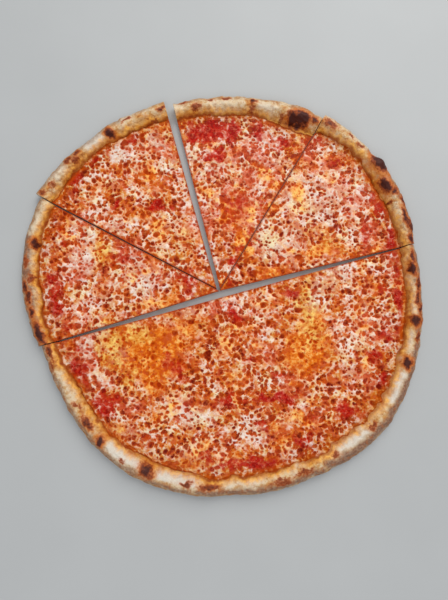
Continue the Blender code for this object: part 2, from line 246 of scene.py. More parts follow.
# The toppings' measures that the node trees take.
GROUP_MEASURES = ("Sauce level", "Cheese level", "Pit spacing", "Fine spacing", "Large spacing")

# The three sizes of pits: an offset that keeps their patterns apart, the smallest and the largest radius as a
# share of the spacing, and the share of them that is missing.
PIT_KINDS = ((0, 0.15, 0.38, 0.06), (3.7, 0.15, 0.39, 0.28), (7.9, 0.09, 0.22, 0.45))


# Settings


def linear(colour):
    """A colour written in steps from 0 to 255, as Blender's linear values. Any other value stays as it is."""
    if not isinstance(colour, tuple):
        return colour
    parts = [step / 255 for step in colour]
    return (*(part / 12.92 if part <= 0.04045 else ((part + 0.055) / 1.055) ** 2.4 for part in parts), 1)


def length(name, description, default):
    settings = {"default": default, "min": 0, "unit": "LENGTH", "subtype": "DISTANCE", "precision": 5}
    return bpy.props.FloatProperty(name=name, description=description, **settings)


def tint(name, description, *steps):
    settings = {"default": linear(steps), "size": 4, "min": 0, "max": 1, "subtype": "COLOR"}
    return bpy.props.FloatVectorProperty(name=name, description=description, **settings)


class PizzaDough(bpy.types.PropertyGroup):
    """Sizes and colours of the crust."""

    base_thickness: length("Base thickness", "Thickness of the flat base", 0.0032)
    rim_height: length("Rim height", "Height of its crown over the table", 0.0155)
    rim_width: length("Rim width", "From its inner to its outer edge", 0.0215)
    cream: tint("Cream", "Palest baked dough", 214, 186, 146)
    golden: tint("Golden", "Lightly browned dough", 198, 136, 68)
    brown: tint("Brown", "Well browned dough", 144, 60, 18)
    char: tint("Char", "Burnt marks", 62, 20, 14)
    # The flour colour is partly the dust of flour and partly painted shade on the rim's outer side.
    flour_and_shade: tint("Flour", "Dusted, greyish outer side", 150, 116, 96)


class PizzaToppings(bpy.types.PropertyGroup):
    """Sizes and colours of the sauce and the cheese."""

    sauce_level: length("Sauce level", "Height of the sauce over the table", 0.005)
    cheese_level: length("Cheese level", "Height of the cheese over the table", 0.0063)
    pit_spacing: length("Pit spacing", "Between middling pits in the cheese", 0.0078)
    fine_spacing: length("Fine pit spacing", "Between the finest pits", 0.0048)
    large_spacing: length("Large pit spacing", "Between the largest pits", 0.018)
    grid: length("Mesh spacing", "Between points of the toppings' meshes", 0.00085)
    pit_core: tint("Pit core", "Bottom of a pit", 98, 10, 0)
    pit_edge: tint("Pit edge", "Edge of a pit", 188, 72, 2)
    halo: tint("Halo", "Thin cheese round a pit", 202, 80, 4)
    peach: tint("Peach", "Cheese stained by sauce", 220, 128, 54)
    cheese: tint("Cheese", "Melted cheese", 229, 182, 153)
    white: tint("Thick cheese", "Cheese where it is thickest", 236, 218, 208)
    oil: tint("Oil", "Oil that gathers on the cheese", 228, 118, 8)
    oil_light: tint("Light oil", "Oil over thick cheese", 242, 180, 92)
    sauce_bare: tint("Bare sauce", "Sauce where it lies bare", 174, 20, 12)
    sauce_veil: tint("Veiled sauce", "Sauce under a thin veil of cheese", 220, 140, 126)


class PizzaStage(bpy.types.PropertyGroup):
    """The table, the lights and the camera."""

    floor: tint("Floor", "Colour of the table", 176, 178, 178)
    distance: length("Camera distance", "From the camera to the point it looks at", 0.5414)
    tilt: bpy.props.FloatProperty(
        name="Camera tilt", description="Lean from straight down", default=math.radians(5), subtype="ANGLE"
    )
    lens: bpy.props.FloatProperty(name="Lens", description="Focal length for a 36 mm sensor", default=28)


# Outline and fields


def smooth_between(values, place):
    """The value at a place from 0 to 1 along a smooth curve through these values."""
    scaled = min(max(place, 0), 1) * (len(values) - 1)
    index = min(int(scaled), len(values) - 2)
    before, start, end, after = (values[min(max(index + step, 0), len(values) - 1)] for step in (-1, 0, 1, 2))
    t = scaled - index
    lean = 2 * before - 5 * start + 4 * end - after
    bend = 3 * (start - end) + after - before
    return start + t / 2 * (end - before + t * (lean + t * bend))


def rim_size(x, y, size, factors, height, length, layer):
    """A size times its factor in this direction, from a row that goes once round the pizza, plus a wave."""
    ring = factors[-1:] + factors + factors[:2]
    place = (1 + (math.degrees(math.atan2(y, x)) % 360) / 360 * len(factors)) / (len(ring) - 1)
    wave = noise.noise(Vector((x / length, y / length, layer)))
    return size * smooth_between(ring, place) + height * wave


def lattice_noise(x, y, length, seed):
    """Even waves of this length between -1 and 1, for arrays of places."""
    cells = 256
    values = np.random.default_rng(seed).uniform(-1, 1, (cells, cells))
    left = np.floor(x / length).astype(int)
    low = np.floor(y / length).astype(int)
    across, up = (part * part * (3 - 2 * part) for part in (x / length - left, y / length - low))
    lower, upper = (
        values[row % cells, left % cells] * (1 - across) + values[row % cells, (left + 1) % cells] * across
        for row in (low, low + 1)
    )
    return lower * (1 - up) + upper * up


def ragged(x, y, seed, *waves):
    """Noise with waves of several sizes, each given as its height and its length."""
    return sum(height * lattice_noise(x, y, length, seed + i) for i, (height, length) in enumerate(waves))


def patch_field(x, y, patches, seed):
    """How strongly these patches cover each place, with ragged edges."""
    ragged_x = x + ragged(x, y, seed, (0.006, 0.011), (0.003, 0.005))
    ragged_y = y + ragged(x, y, seed + 2, (0.006, 0.011), (0.003, 0.005))
    field = np.zeros(len(x))
    for across, up, half_width, half_height, strength in np.array(patches) / PATCH_STEPS:
        away = ((ragged_x - across) / half_width) ** 2 + ((ragged_y - up) / half_height) ** 2
        field = np.maximum(field, strength * np.exp(-(away**1.5)))
    return field


class Dough:
    """The uneven outline of one piece. Turns are from its first cut, round its tip."""

    def __init__(self, piece, sizes):
        self.tip, cuts, self.radii = piece
        self.first_cut = math.radians(cuts[0])
        self.arc = math.radians(cuts[1] - cuts[0])
        self.sizes = sizes

    def place(self, radius, turn):
        """X and Y on the whole pizza."""
        direction = self.first_cut + turn
        return self.tip[0] + radius * np.cos(direction), self.tip[1] + radius * np.sin(direction)

    def turn_of(self, x, y):
        """The turn from the first cut to each place, seen from the tip."""
        return np.mod(np.arctan2(y, x) - self.first_cut + 0.5, 2 * math.pi) - 0.5

    def inside_cuts(self, x, y):
        """How far each place, seen from the tip, lies inside either cut."""
        start = self.first_cut
        end = self.first_cut + self.arc
        return y * math.cos(start) - x * math.sin(start), x * math.sin(end) - y * math.cos(end)

    def rays(self, count):
        """Turn, outer radius, radius of the rim's foot and rim height along even rays."""
        rows = []
        for turn in np.linspace(0, self.arc, count):
            outer = smooth_between(self.radii, turn / self.arc)
            x, y = self.place(outer, turn)
            width = rim_size(x, y, self.sizes.rim_width, RIM_WIDTH_FACTORS, *EDGE_WAVE, 3)
            height = rim_size(x, y, self.sizes.rim_height, RIM_HEIGHT_FACTORS, *RIM_WAVE, 5)
            rows.append((turn, outer, outer - width, height))
        return np.array(rows)


# Node trees


class Value:
    """The output of a node. A sum, difference or product of values is a further node."""

    def __init__(self, tree, socket):
        self.tree = tree
        self.socket = socket

    def __add__(self, other):
        return self.tree.calculate("ADD", self, other)

    def __sub__(self, other):
        return self.tree.calculate("SUBTRACT", self, other)

    def __mul__(self, other):
        return self.tree.calculate("MULTIPLY", self, other)

    def scaled(self, low, high, start=0, end=1, interpolation="LINEAR"):
        """Goes straight from start to end as the value goes from low to high."""
        inputs = {"Value": self, "From Min": low, "From Max": high, "To Min": start, "To Max": end}
        return self.tree.value("ShaderNodeMapRange", inputs, interpolation_type=interpolation)

    def swing(self, reach, low=0.25):
        """Goes straight from -reach to reach as the value goes from low to 1 - low."""
        return self.scaled(low, 1 - low, -reach, reach)

    def smooth(self, low, high, start=0, end=1):
        """Goes smoothly from start to end as the value goes from low to high."""
        return self.scaled(low, high, start, end, "SMOOTHSTEP")

    def parts(self):
        """The three numbers of a vector or a colour."""
        return [Value(self.tree, part) for part in self.tree.node("ShaderNodeSeparateXYZ", {0: self}).outputs]


class Tree:
    """Adds nodes to a tree. Colours are written as three steps from 0 to 255."""

    def __init__(self, tree):
        self.nodes = tree.nodes
        self.links = tree.links

    def node(self, kind, inputs=None, **settings):
        made = self.nodes.new(kind)
        for name, value in settings.items():
            setattr(made, name, value)
        self.fill(made, inputs or {})
        return made

    def fill(self, node, inputs):
        """Links values to a node's inputs and sets the others to their numbers."""
        for name, value in inputs.items():
            if isinstance(value, Value):
                self.links.new(value.socket, node.inputs[name])
            else:
                node.inputs[name].default_value = value

    def value(self, kind, inputs=None, output=0, **settings):
        """One output of a new node."""
        return Value(self, self.node(kind, inputs, **settings).outputs[output])

    def math(self, operation, first, second, third=0):
        return self.value("ShaderNodeMath", {0: first, 1: second, 2: third}, operation=operation)

    def calculate(self, operation, first, second):
        """Joins numbers, or vectors. A vector times a number is scaled."""
        if first.socket.type == "VALUE":
            return self.math(operation, first, second)
        if isinstance(second, float):
            return self.value("ShaderNodeVectorMath", {0: first, "Scale": second}, operation="SCALE")
        return self.value("ShaderNodeVectorMath", {0: first, 1: second}, operation=operation)

    def noise(self, place, length, detail=3, roughness=0.6, output=0):
        """Noise with waves of this length: its value, or its colour as output 1."""
        inputs = {"Vector": place, "Scale": 1 / length, "Detail": detail, "Roughness": roughness}
        return self.value("ShaderNodeTexNoise", inputs, output)

    def cells(self, place, scale, **settings):
        """How far each place is from the middle of its cell, and the cell's three random numbers."""
        made = self.node("ShaderNodeTexVoronoi", {"Vector": place, "Scale": scale}, **settings)
        return Value(self, made.outputs["Distance"]), Value(self, made.outputs["Color"]).parts()

    def mix(self, factor, first, second, blend="MIX"):
        inputs = {0: factor, 6: linear(first), 7: linear(second)}
        return self.value("ShaderNodeMix", inputs, 2, data_type="RGBA", blend_type=blend)

    def coats(self, colour, along, *coats):
        """Lays coats over a colour: how far each covers, and its colour, or its two colours along a value."""
        for cover, *tones in coats:
            colour = self.mix(cover, colour, self.mix(along, *tones) if tones[1:] else tones[0])
        return colour

    def shaded(self, colour, factor):
        """The colour made darker or lighter by a factor."""
        grey = self.value("ShaderNodeCombineXYZ", {0: factor, 1: factor, 2: factor})
        return self.mix(1, colour, grey, "MULTIPLY")

    def ramp(self, factor, *stops):
        """A colour ramp through these pairs of place and colour."""
        made = self.node("ShaderNodeValToRGB", {0: factor})
        elements = made.color_ramp.elements
        for index, (place, colour) in enumerate(stops):
            element = elements[index] if index < 2 else elements.new(place)
            element.position = place
            element.color = linear(colour)
        return Value(self, made.outputs[0])

    def attributes(self, *names):
        """The numbers that the mesh stores under these names."""
        return [self.value("ShaderNodeAttribute", output="Fac", attribute_name=name) for name in names]

    def object_place(self):
        return self.value("ShaderNodeTexCoord", output="Object")


def material_tree(name):
    """A new material and its tree."""
    material = bpy.data.materials.new(name)
    material.use_nodes = True
    return material, Tree(material.node_tree)


def finish(tree, colour, roughness, specular, *bumps):
    """Sets a material's surface. Each bump is its strength, its depth and its height."""
    surface = {"Base Color": colour, "Roughness": roughness, "Specular IOR Level": specular}
    below = {}
    for strength, depth, height in bumps:
        inputs = {"Strength": strength, "Distance": depth, "Height": height}
        below = {"Normal": tree.value("ShaderNodeBump", inputs | below)}
    tree.fill(tree.nodes["Principled BSDF"], surface | below)


# Crust


def crust_profile(sizes):
    """The section at the driving sizes: share of the base, share across the rim, and height."""
    base = sizes.base_thickness
    crown = sizes.rim_height
    bulge = crown * BULGE_HEIGHT
    rows = [(share, 0, base) for share in (*np.linspace(0, 0.92, 16), *np.linspace(0.925, 1, 16))]
    for part in np.linspace(0, 1, 25)[1:]:
        rows.append((1, CROWN_PLACE * part, base + (crown - base) * math.sin(part * math.pi / 2) ** 0.9))
    for turn in np.radians(np.linspace(90, 5, 25)[1:]):
        across = CROWN_PLACE + (1 - CROWN_PLACE) * math.cos(turn)
        rows.append((1, across, bulge + (crown - bulge) * math.sin(turn)))
    for part in np.linspace(0, 1, 9):
        rows.append((1, 1 - (1 - TUCK_PLACE) * part ** (1 / TUCK_SLOPE), bulge * (1 - part)))
    rows.append((1, 0.35, 0))
    rows.extend((share, 0, 0) for share in np.linspace(1, 0, 18))
    return np.array(rows)


def from_mark(x, y, across, rim_width, direction, middle):
    """How far each place lies from a mark, along the rim and across it."""
    turn = math.radians(direction) - np.arctan2(y, x)
    return np.hypot(x, y) * np.arctan2(np.sin(turn), np.cos(turn)), (across - middle) * rim_width


def blister_rise(x, y, across, rim_width):
    """How far the blisters lift the rim at each place."""
    rise = np.zeros(x.shape)
    for direction, middle, radius, height in np.array(BLISTERS) / BLISTER_STEPS:
        along, over = from_mark(x, y, across, rim_width, direction, middle)
        rise += height * np.exp(-(along**2 + over**2) / radius**2)
    return rise


def char_fields(x, y, across, rim_width):
    """How burnt the rim is at each place, and how toasted in a wider ring round each mark."""
    burnt = np.zeros(x.shape)
    toasted = np.zeros(x.shape)
    aside = ragged(x, y, 31, (0.0022, 0.0052), (0.0011, 0.0023))
    upwards = ragged(x, y, 33, (0.0022, 0.0052), (0.0011, 0.0023))
    for direction, middle, half_length, half_width, darkness in np.array(CHAR_MARKS) / CHAR_STEPS:
        along, over = from_mark(x, y, across, rim_width, direction, middle)
        away = ((along + aside) / half_length) ** 2 + ((over + upwards) / half_width) ** 2
        burnt = np.maximum(burnt, darkness * np.exp(-(away**1.5)))
        toasted = np.maximum(toasted, darkness * np.exp(-away / 2.6))
    return burnt, toasted


def fade(distance):
    """From 0 outside an edge to 1 inside it, straight over a distance of 1."""
    return np.clip(distance + 0.5, 0, 1)


def stretch_field(x, y, across, stretches):
    """How strongly these stretches of the rim cover each place, fading at all sides."""
    field = np.zeros(x.shape)
    direction = np.degrees(np.arctan2(y, x)) % 360
    across = across + ragged(x, y, 41, (0.09, 0.009), (0.03, 0.0026))
    for start, end, low, high, strength in np.array(stretches) / STRETCH_STEPS:
        ends = fade((direction - start) / 2) * fade((end - direction) / 2)
        field = np.maximum(field, strength * ends * fade((across - low) / 0.3) * fade((high - across) / 0.3))
    return field


def climb_of(x, y):
    """Where the toppings end in the direction of each place, across the rim."""
    angle = np.arctan2(y, x)
    directions, ends = (np.array(TOPPING_BORDER) / BORDER_STEPS).T
    border = np.interp(np.degrees(angle) % 360, directions, ends, period=360)
    round_x, round_y = FIELD_RADIUS * np.cos(angle), FIELD_RADIUS * np.sin(angle)
    return border + ragged(round_x, round_y, 21, (0.055, 0.0085), (0.035, 0.0036))


def crust_mesh(name, piece, sizes):
    """The closed crust of one piece, and its browning."""
    dough = Dough(piece, sizes)
    profile = crust_profile(sizes)
    shape = (int(dough.arc * max(dough.radii) / CRUST_SPACING), len(profile))
    share, across, height = profile.T[:, None, :]
    turn, outer, foot, crown = dough.rays(shape[0]).T[:, :, None]
    base = sizes.base_thickness
    radius = share * foot + across * (outer - foot)
    lift = np.clip((height - base) / (sizes.rim_height - base), 0, None)
    z = np.where(height > base, base + lift * (crown - base), height + 0 * turn)
    x, y = dough.place(radius, turn)
    rise = blister_rise(x, y, across, sizes.rim_width)
    z = z + lift * rise
    onto_rim = (radius - foot) / (outer - foot)
    char, toast = char_fields(x, y, onto_rim, sizes.rim_width)
    above = radius - foot - climb_of(x, y) * (outer - foot)
    values = {
        "across": onto_rim,
        "char": char,
        "toast": toast,
        "pale_and_sheen": stretch_field(x, y, onto_rim, PALE_AND_SHEEN_STRETCHES),
        "dusty_and_shaded": stretch_field(x, y, onto_rim, DUSTY_AND_SHADED_STRETCHES),
        "along": math.hypot(*dough.place(FIELD_RADIUS, 0)) * (dough.first_cut + turn),
        "above": above,
        "under": np.where(height <= 1e-9, 1, 0),
    }

    # Fine relief, in the section's own plane so that the faces of the cuts stay flat.
    relief = 0.0008 * lattice_noise(x + z, y - z, 0.01, 11) + 0.0006 * lattice_noise(x, y + z, 0.0044, 12)
    relief += 0.00026 * lattice_noise(x + 2 * z, y, 0.0019, 13)
    relief *= np.clip(z / base, 0, 1) * np.clip(above / 0.003, 0, 1)
    relief += rise * np.clip((across - 0.7) / 0.3, 0, 1)
    step_r = np.gradient(radius, axis=1)
    step_z = np.gradient(z, axis=1)
    size = np.maximum(np.hypot(step_r, step_z), 1e-9)
    radius = radius - step_z / size * relief * (across > 0)
    z = np.where(height <= 1e-9, 0, z + step_r / size * relief)
    points = np.clip(np.stack([*dough.place(radius, turn), z], axis=-1).reshape(-1, 3), *frame_box)

    index = np.arange(shape[0] * shape[1]).reshape(shape)
    index[:, 0] = index[0, 0]
    index[:, -1] = index[0, -1]
    faces = [tuple(dict.fromkeys(quad)) for quad in quads_of(index).tolist()]
    faces += [tuple(index[0, ::-1].tolist()), tuple(index[-1].tolist())]
    mesh = bpy.data.meshes.new(name)
    mesh.from_pydata(points.tolist(), [], faces)
    for key, value in values.items():
        store(mesh, key, np.broadcast_to(value, shape).ravel())
    body = bmesh.new()
    body.from_mesh(mesh)
    tidy(body, mesh)
    return mesh


def quads_of(index):
    """The four corners of every face of a grid whose points have these numbers."""
    return np.stack([index[:-1, :-1], index[:-1, 1:], index[1:, 1:], index[1:, :-1]], axis=-1).reshape(-1, 4)


def store(mesh, key, values):
    mesh.attributes.new(key, "FLOAT", "POINT").data.foreach_set("value", np.asarray(values, np.float32))


def drop_loose_points(body):
    loose = [vertex for vertex in body.verts if not vertex.link_faces]
    bmesh.ops.delete(body, geom=loose, context="VERTS")


def tidy(body, mesh):
    """Writes the mesh without loose points and with all its faces outwards."""
    drop_loose_points(body)
    bmesh.ops.recalc_face_normals(body, faces=body.faces)
    body.to_mesh(mesh)
    body.free()


def crust_material(colours):
    """Baked dough: cream to gold, burnt in spots, stained by oil along its inner edge."""
    material, tree = material_tree("Baked crust")
    place = tree.object_place()
    across, along, above, pale_and_sheen = tree.attributes("across", "along", "above", "pale_and_sheen")
    dusty_and_shaded, toast, char, under = tree.attributes("dusty_and_shaded", "toast", "char", "under")
    broad = tree.noise(place, 0.015)
    middle = tree.noise(place, 0.0055)
    fine = tree.noise(place, 0.0022)
    grain = tree.noise(place, 0.0009, 2)
    streaks = tree.noise(tree.value("ShaderNodeCombineXYZ", {0: along, 1: across * 0.01}), 0.0085)

    baked = broad * 0.9 + middle * 0.8 + streaks * 0.5 + fine * 0.3 - pale_and_sheen * 0.35
    # Painted shade in part: the floury and crusted coats darken the outer side, for flour, browning and shade.
    floury_and_shaded = dusty_and_shaded + middle.swing(0.14, 0.3)
    crusted_and_shaded = dusty_and_shaded + fine.swing(0.4, 0.3)
    freckles = tree.noise(place + (0.4, 0.2, 0), 0.0042).smooth(0.51, 0.64)
    freckles = freckles * pale_and_sheen.scaled(0, 1, 0.6, 0.12)
    reach = above + streaks.swing(0.0036) + middle.swing(0.0018)
    golden = reach.smooth(0.0078, 0.0006) * fine.scaled(0.3, 0.7, 0.98, 0.7)
    golden = golden * pale_and_sheen.scaled(0, 0.8, 1, 0.88)
    near = above + streaks.swing(0.0012)
    stained = near.smooth(0.0029, 0.0003) * broad.scaled(0.35, 0.6, 0.55, 1)
    stained = stained * pale_and_sheen.scaled(0, 0.8, 1, 0.6)
    toast = toast + fine.swing(0.1, 0.2)
    char = char + fine.swing(0.26, 0.2)
    spots = tree.noise(place, 0.011, 3, 0.65).smooth(0.5, 0.68)
    colour = tree.coats(
        tree.ramp(
            baked.scaled(0.98, 1.52),
            (0, (218, 196, 164)),
            (0.3, colours.cream),
            (0.55, (202, 158, 104)),
            (0.8, colours.golden),
            (1, (160, 92, 42)),
        ),
        middle.smooth(0.4, 0.62),
        # painted sheen in part: the grey-white of the pale stretches stands partly for light glancing off the
        # rim
        (pale_and_sheen.smooth(0.35, 1, 0, 0.75), (216, 208, 196)),
        # partly flour and browning, partly painted shade on the rim's outer side
        (floury_and_shaded.smooth(0.08, 1.04, 0, 0.88), colours.flour_and_shade),
        (crusted_and_shaded.smooth(0.66, 1.26, 0, 0.68), (112, 68, 48)),
        (freckles, (166, 92, 42)),
        (golden, (244, 174, 60), (216, 130, 24)),
        (stained, (142, 52, 2)),
        (toast.smooth(0.2, 0.62, 0, 0.8), (198, 106, 28)),
        (char.smooth(0.14, 0.5, 0, 0.9), colours.brown),
        (char.smooth(0.42, 0.84, 0, 0.95), colours.char),
        (under, tree.mix(spots * 0.9, (196, 142, 86), (92, 50, 28))),
    )
    # The grain speckles the tone at random; darkening towards the rim's outer edge is partly browning, partly
    # painted shade.
    colour = tree.shaded(colour, grain.scaled(0.25, 0.75, 0.88, 1.1) * across.scaled(0.6, 1, 1, 0.88))
    finish(tree, colour, 0.52, 0.22, (0.6, 0.0008, fine), (0.4, 0.0003, grain))
    return material


# Sauce and cheese


def topping_sheet(name, piece, sizes, spacing, bottom, margin, inset):
    """A flat sheet over one piece's base and the foot of its rim, closed with walls and a floor.

    It reaches past the toppings' border by the margin, and stays back from the cuts by the inset."""
    dough = Dough(piece, sizes)
    rays = dough.rays(SHEET_RAYS)
    turns, outer, foot, crown = rays.T
    limit = foot + (outer - foot) * climb_of(*dough.place(outer, turns)) + margin
    steps = int((float(limit.max()) + spacing) * 2 / spacing)
    line = (np.arange(steps + 1) - steps / 2) * spacing
    column, row = (part.ravel() for part in np.meshgrid(line, line))
    keep = np.hypot(column, row) < np.interp(dough.turn_of(column, row), turns, limit)
    for inside in dough.inside_cuts(column, row):
        keep &= inside > -spacing * 1.5
    corners = quads_of(np.where(keep, np.cumsum(keep) - 1, -1).reshape(steps + 1, steps + 1))
    points = np.stack([column[keep], row[keep], np.full(int(keep.sum()), 1)], axis=-1)
    mesh = bpy.data.meshes.new(name)
    mesh.from_pydata(points.tolist(), [], corners[(corners >= 0).all(axis=1)].tolist())

    body = bmesh.new()
    body.from_mesh(mesh)
    for direction, side in ((dough.first_cut, -1), (dough.first_cut + dough.arc, 1)):
        out = Vector((-math.sin(direction) * side, math.cos(direction) * side, 0))
        plane = {"plane_co": out * -inset, "plane_no": out, "dist": 1e-7}
        everything = body.verts[:] + body.edges[:] + body.faces[:]
        bmesh.ops.bisect_plane(body, geom=everything, clear_outer=True, **plane)
    drop_loose_points(body)
    border = [edge for edge in body.edges if edge.is_boundary]
    for item in bmesh.ops.extrude_edge_only(body, edges=border)["geom"]:
        if isinstance(item, bmesh.types.BMVert):
            item.co.z = 0
    bmesh.ops.contextual_create(body, geom=[edge for edge in body.edges if edge.is_boundary])
    tidy(body, mesh)

    places = np.empty(len(mesh.vertices) * 3)
    mesh.vertices.foreach_get("co", places)
    places = places.reshape(-1, 3)
    x, y, top = places.T
    radius = np.hypot(x, y)
    from_cuts = np.abs(dough.inside_cuts(x, y))
    outer, foot, crown = (np.interp(dough.turn_of(x, y), turns, values) for values in rays.T[1:])
    store(mesh, "top", top)
    places += (*dough.tip, 0)
    places[:, 2] = bottom + 0.001 * top
    mesh.vertices.foreach_set("co", places.ravel())
    across = (radius - foot) / (outer - foot)
    lift = np.sin(np.clip(across / CROWN_PLACE, 0, 1) * math.pi / 2) ** 0.9
    rise = blister_rise(x, y, across, sizes.rim_width)
    store(mesh, "ground", sizes.base_thickness + lift * (crown - sizes.base_thickness + rise))
    store(mesh, "edge", (climb_of(x, y) - across) * (outer - foot))
    store(mesh, "from_cut", from_cuts.min(axis=0))
    for number, (key, patches) in enumerate(PATCHES.items()):
        store(mesh, key, patch_field(x, y, patches, PATCH_SEED + 10 * number))
    return mesh


def pit_field(tree, place, bare, oil, creamy, spacings):
    """How far each place is from the nearest pit's edge, negative inside it, for shape and colour alike."""
    flat = place * (1, 1, 0)
    warp = tree.noise(flat, 0.006, 2, 0.5, 1) - (0.5, 0.5, 0.5)
    drift = tree.noise(flat, 0.03, 2, 0.5, 1) - (0.5, 0.5, 0.5)
    flat = flat + warp * 0.0022 + drift * 0.012
    swell = bare * 0.7 + 1 - creamy * 0.22
    nearest = None
    for spacing, (offset, smallest, largest, missing) in zip(spacings, PIT_KINDS):
        scale = tree.math("DIVIDE", 1, spacing)
        away, random = tree.cells(flat + (offset, offset, 0), scale, voronoi_dimensions="2D")
        away = (away - random[0].scaled(0, 1, smallest, largest) * swell) * spacing
        away = away + tree.math("LESS_THAN", random[1], missing) * 0.006
        within = tree.math("MINIMUM", away, 0) * tree.math("POWER", random[2], 1.4)
        away = tree.math("MAXIMUM", away, 0) + within
        nearest = tree.math("SMOOTH_MIN", nearest, away, 0.0005) if nearest else away
    rough = tree.noise(flat, 0.0085).swing(0.0006)
    uneven = tree.noise(flat, 0.024, 2, 0.5).swing(0.0006)
    gone = (bare + rough * -350).smooth(0.72, 1.02)
    return nearest + rough + uneven + oil * 0.0005 + creamy * 0.0002 - gone * 0.002


def relief_tree(name, cheese):
    """Raises a flat sheet into the surface of the cheese or of the sauce."""
    group = bpy.data.node_groups.new(name, "GeometryNodeTree")
    sockets = {"Geometry": "NodeSocketGeometry", "Material": "NodeSocketMaterial", "Lowest": "NodeSocketFloat"}
    sockets.update(dict.fromkeys(GROUP_MEASURES, "NodeSocketFloat"))
    for label, kind in sockets.items():
        group.interface.new_socket(label, in_out="INPUT", socket_type=kind)
    group.interface.new_socket("Geometry", in_out="OUTPUT", socket_type="NodeSocketGeometry")
    tree = Tree(group)
    start = tree.node("NodeGroupInput")
    given = {label: Value(tree, start.outputs[label]) for label in sockets}
    bare, oil, creamy, edge, ground, top = (
        tree.value("GeometryNodeInputNamedAttribute", {"Name": key}, "Attribute", data_type="FLOAT")
        for key in ("bare", "oil", "creamy", "edge", "ground", "top")
    )
    place = tree.value("GeometryNodeInputPosition")
    pits = pit_field(tree, place, bare, oil, creamy, [given[label] for label in GROUP_MEASURES[2:]])
    waves = tree.noise(place, 0.011, 2, 0.5)
    lumps = tree.noise(place, 0.0038, 2, 0.5)
    film = tree.math("SMOOTH_MAX", given["Sauce level"], ground + 0.0005, 0.0006)
    film = film + waves.swing(0.00015, 0.2) + lumps.swing(0.00008, 0.2)
    if cheese:
        border = (edge + waves.scaled(0.2, 0.8, -0.0034, 0)).smooth(0.0002, 0.0026)
        bumps = waves.swing(0.0004, 0.2) + lumps.swing(0.0003, 0.2)
        rise = given["Cheese level"] - given["Sauce level"] + DIP + bumps
        height = rise * (pits.smooth(-0.0009, 0.0011) * border) + (film - DIP)
        sunk = edge.smooth(0.0004, -0.0006)
    else:
        height = film
        sunk = (edge + waves.swing(0.0015, 0.2)).smooth(0.001, -0.0012)
    height = tree.math("MAXIMUM", height - sunk * 0.002, given["Lowest"])
    x, y, z = place.parts()
    placed = tree.value("ShaderNodeCombineXYZ", {0: x, 1: y, 2: height})
    chosen = tree.math("GREATER_THAN", top, 0.5)
    inputs = {"Geometry": given["Geometry"], "Selection": chosen, "Position": placed}
    real = tree.value("GeometryNodeRealizeInstances", {0: tree.value("GeometryNodeSetPosition", inputs)})
    painted = tree.value("GeometryNodeSetMaterial", {"Geometry": real, "Material": given["Material"]})
    tree.node("NodeGroupOutput", {"Geometry": painted})
    return group


def evaluated_piece(name, mesh, group, values):
    """The mesh after the node tree, as a plain mesh object."""
    source = add_object(name + "_sheet", mesh)
    modifier = source.modifiers.new("Relief", "NODES")
    modifier.node_group = group
    for item in group.interface.items_tree:
        if item.in_out == "INPUT" and item.name in values:
            modifier[item.identifier] = values[item.name]
    graph = bpy.context.evaluated_depsgraph_get()
    made = bpy.data.meshes.new_from_object(source.evaluated_get(graph))
    bpy.data.objects.remove(source)
    made.name = name
    return add_object(name, made)


